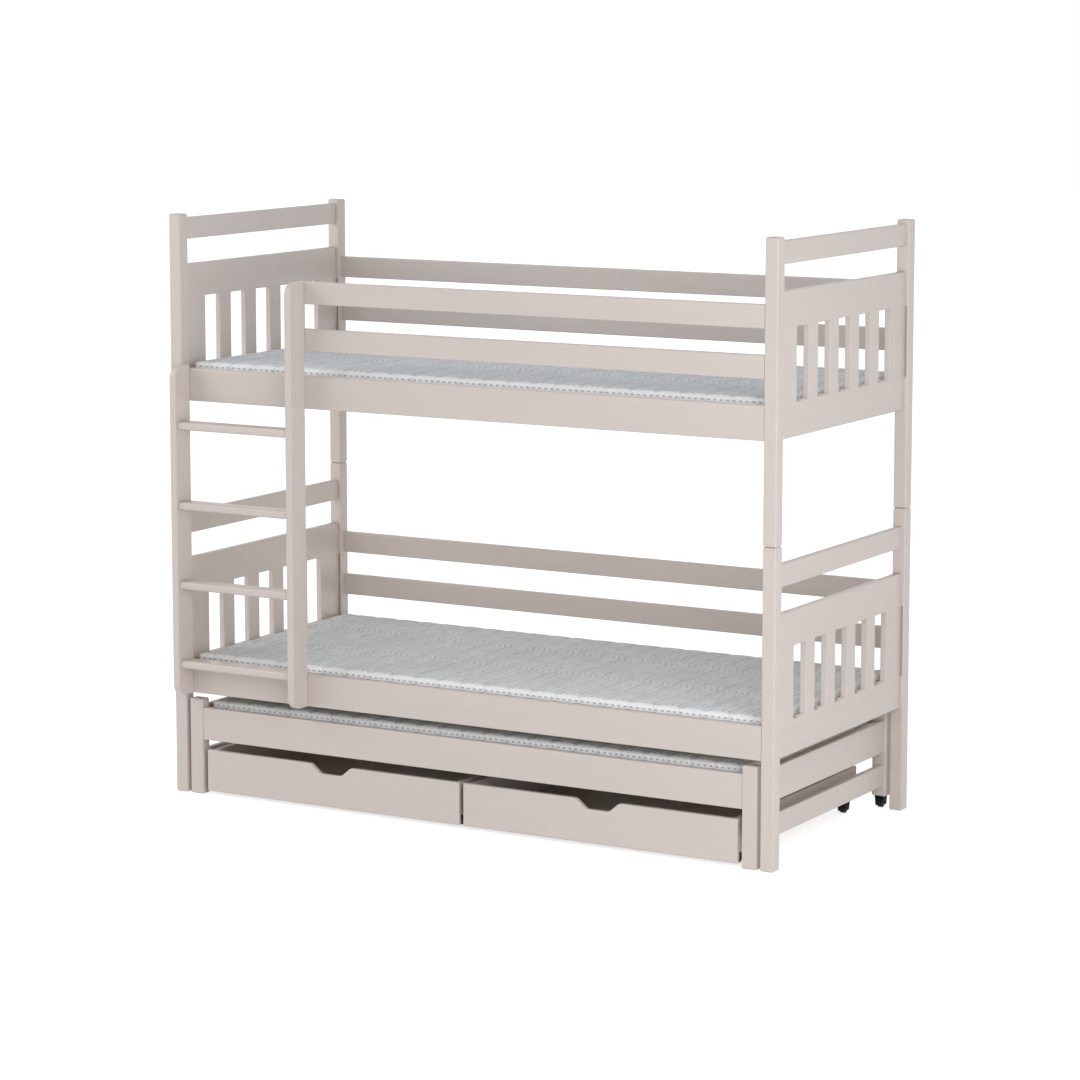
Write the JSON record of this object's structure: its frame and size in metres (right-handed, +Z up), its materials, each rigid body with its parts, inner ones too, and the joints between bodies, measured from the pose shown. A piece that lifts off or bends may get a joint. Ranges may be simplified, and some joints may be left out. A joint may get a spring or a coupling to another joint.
{
  "type": "bunk bed with trundle",
  "caption": "Painted wooden bunk bed with slotted end panels, guard rails and a front ladder, over a roll-out trundle bed and low storage drawers with finger notches; mattresses fitted.",
  "frame": {"origin": "on the floor, at the middle of the box around the closed bed and its ladder", "axes": "+X along the bed, with the ladder at its -X end; +Y from the ladder and drawer side to the wall side; +Z up"},
  "size_m": [1.98, 0.9524, 1.719],
  "materials": {
    "painted_pine": "warm grey satin paint on pine",
    "bare_pine": "unpainted planed pine, tied by woven tape",
    "quilted_cover": "white and pale blue-grey knitted cover, channel stitched, over foam",
    "black_plastic": "matt black"
  },
  "bodies": {
    "bunk_frame": {"lower_post_front_left": "painted_pine", "upper_post_front_left": "painted_pine", "lower_post_front_right": "painted_pine", "upper_post_front_right": "painted_pine", "lower_post_back_left": "painted_pine", "upper_post_back_left": "painted_pine", "lower_post_back_right": "painted_pine", "upper_post_back_right": "painted_pine", "lower_left_end_panel": "painted_pine", "lower_left_end_rail": "painted_pine", "lower_right_end_panel": "painted_pine", "lower_right_end_rail": "painted_pine", "lower_front_side_rail": "painted_pine", "lower_back_side_rail": "painted_pine", "lower_back_guard_low": "painted_pine", "lower_back_guard_high": "painted_pine", "lower_slat_roll": "bare_pine", "lower_mattress": "quilted_cover", "upper_left_end_panel": "painted_pine", "upper_left_end_rail": "painted_pine", "upper_right_end_panel": "painted_pine", "upper_right_end_rail": "painted_pine", "upper_front_side_rail": "painted_pine", "upper_back_side_rail": "painted_pine", "upper_back_guard_low": "painted_pine", "upper_back_guard_high": "painted_pine", "upper_slat_roll": "bare_pine", "upper_mattress": "quilted_cover", "upper_front_guard_low": "painted_pine", "upper_front_guard_high": "painted_pine", "ladder_stile_left": "painted_pine", "ladder_stile_right": "painted_pine", "ladder_rung_1": "painted_pine", "ladder_rung_2": "painted_pine", "ladder_rung_3": "painted_pine", "ladder_rung_4": "painted_pine"},
    "trundle": {"trundle_front_rail": "painted_pine", "trundle_back_rail": "painted_pine", "trundle_slat_roll": "bare_pine", "trundle_mattress": "quilted_cover", "trundle_leg_front_left": "painted_pine", "trundle_leg_rear_left": "painted_pine", "trundle_end_board_left": "painted_pine", "trundle_leg_front_right": "painted_pine", "trundle_leg_rear_right": "painted_pine", "trundle_end_board_right": "painted_pine"},
    "trundle_wheel_left_body": {"trundle_wheel_left": "black_plastic"},
    "drawer_left": {"drawer_left_front": "painted_pine", "drawer_left_box": "painted_pine"},
    "trundle_wheel_right_body": {"trundle_wheel_right": "black_plastic"},
    "drawer_right": {"drawer_right_front": "painted_pine", "drawer_right_box": "painted_pine"},
    "drawer_left_wheel_front_left_body": {"drawer_left_wheel_front_left": "black_plastic"},
    "drawer_left_wheel_front_right_body": {"drawer_left_wheel_front_right": "black_plastic"},
    "drawer_left_wheel_back_left_body": {"drawer_left_wheel_back_left": "black_plastic"},
    "drawer_left_wheel_back_right_body": {"drawer_left_wheel_back_right": "black_plastic"},
    "drawer_right_wheel_front_left_body": {"drawer_right_wheel_front_left": "black_plastic"},
    "drawer_right_wheel_front_right_body": {"drawer_right_wheel_front_right": "black_plastic"},
    "drawer_right_wheel_back_left_body": {"drawer_right_wheel_back_left": "black_plastic"},
    "drawer_right_wheel_back_right_body": {"drawer_right_wheel_back_right": "black_plastic"}
  },
  "joints": [
    {"name": "trundle_slide", "type": "slide", "parent": "bunk_frame", "child": "trundle", "axis": [0, -1, 0], "range_m": [0, 0.8]},
    {"name": "trundle_wheel_left_roll", "type": "hinge", "parent": "trundle", "child": "trundle_wheel_left_body", "pos_m": [-0.9155, 0.45615, 0.014], "axis": [1, 0, 0], "range_deg": [-10, 3314]},
    {"name": "trundle_wheel_right_roll", "type": "hinge", "parent": "trundle", "child": "trundle_wheel_right_body", "pos_m": [0.9155, 0.45615, 0.014], "axis": [1, 0, 0], "range_deg": [-10, 3314]},
    {"name": "drawer_left_slide", "type": "slide", "parent": "bunk_frame", "child": "drawer_left", "axis": [0, -1, 0], "range_m": [0, 0.65]},
    {"name": "drawer_left_wheel_front_left_roll", "type": "hinge", "parent": "drawer_left", "child": "drawer_left_wheel_front_left_body", "pos_m": [-0.852, -0.34185, 0.014], "axis": [1, 0, 0], "range_deg": [-10, 2700]},
    {"name": "drawer_left_wheel_front_right_roll", "type": "hinge", "parent": "drawer_left", "child": "drawer_left_wheel_front_right_body", "pos_m": [-0.034, -0.34185, 0.014], "axis": [1, 0, 0], "range_deg": [-10, 2700]},
    {"name": "drawer_left_wheel_back_left_roll", "type": "hinge", "parent": "drawer_left", "child": "drawer_left_wheel_back_left_body", "pos_m": [-0.852, 0.33515, 0.014], "axis": [1, 0, 0], "range_deg": [-10, 2700]},
    {"name": "drawer_left_wheel_back_right_roll", "type": "hinge", "parent": "drawer_left", "child": "drawer_left_wheel_back_right_body", "pos_m": [-0.034, 0.33515, 0.014], "axis": [1, 0, 0], "range_deg": [-10, 2700]},
    {"name": "drawer_right_slide", "type": "slide", "parent": "bunk_frame", "child": "drawer_right", "axis": [0, -1, 0], "range_m": [0, 0.65]},
    {"name": "drawer_right_wheel_front_left_roll", "type": "hinge", "parent": "drawer_right", "child": "drawer_right_wheel_front_left_body", "pos_m": [0.034, -0.34185, 0.014], "axis": [1, 0, 0], "range_deg": [-10, 2700]},
    {"name": "drawer_right_wheel_front_right_roll", "type": "hinge", "parent": "drawer_right", "child": "drawer_right_wheel_front_right_body", "pos_m": [0.852, -0.34185, 0.014], "axis": [1, 0, 0], "range_deg": [-10, 2700]},
    {"name": "drawer_right_wheel_back_left_roll", "type": "hinge", "parent": "drawer_right", "child": "drawer_right_wheel_back_left_body", "pos_m": [0.034, 0.33515, 0.014], "axis": [1, 0, 0], "range_deg": [-10, 2700]},
    {"name": "drawer_right_wheel_back_right_roll", "type": "hinge", "parent": "drawer_right", "child": "drawer_right_wheel_back_right_body", "pos_m": [0.852, 0.33515, 0.014], "axis": [1, 0, 0], "range_deg": [-10, 2700]}
  ],
  "couplings": [
    {"joint": "trundle_wheel_left_roll", "follows": "trundle_slide", "rad_per_m": 71.429},
    {"joint": "trundle_wheel_right_roll", "follows": "trundle_slide", "rad_per_m": 71.429},
    {"joint": "drawer_left_wheel_front_left_roll", "follows": "drawer_left_slide", "rad_per_m": 71.429},
    {"joint": "drawer_left_wheel_front_right_roll", "follows": "drawer_left_slide", "rad_per_m": 71.429},
    {"joint": "drawer_left_wheel_back_left_roll", "follows": "drawer_left_slide", "rad_per_m": 71.429},
    {"joint": "drawer_left_wheel_back_right_roll", "follows": "drawer_left_slide", "rad_per_m": 71.429},
    {"joint": "drawer_right_wheel_front_left_roll", "follows": "drawer_right_slide", "rad_per_m": 71.429},
    {"joint": "drawer_right_wheel_front_right_roll", "follows": "drawer_right_slide", "rad_per_m": 71.429},
    {"joint": "drawer_right_wheel_back_left_roll", "follows": "drawer_right_slide", "rad_per_m": 71.429},
    {"joint": "drawer_right_wheel_back_right_roll", "follows": "drawer_right_slide", "rad_per_m": 71.429}
  ]
}
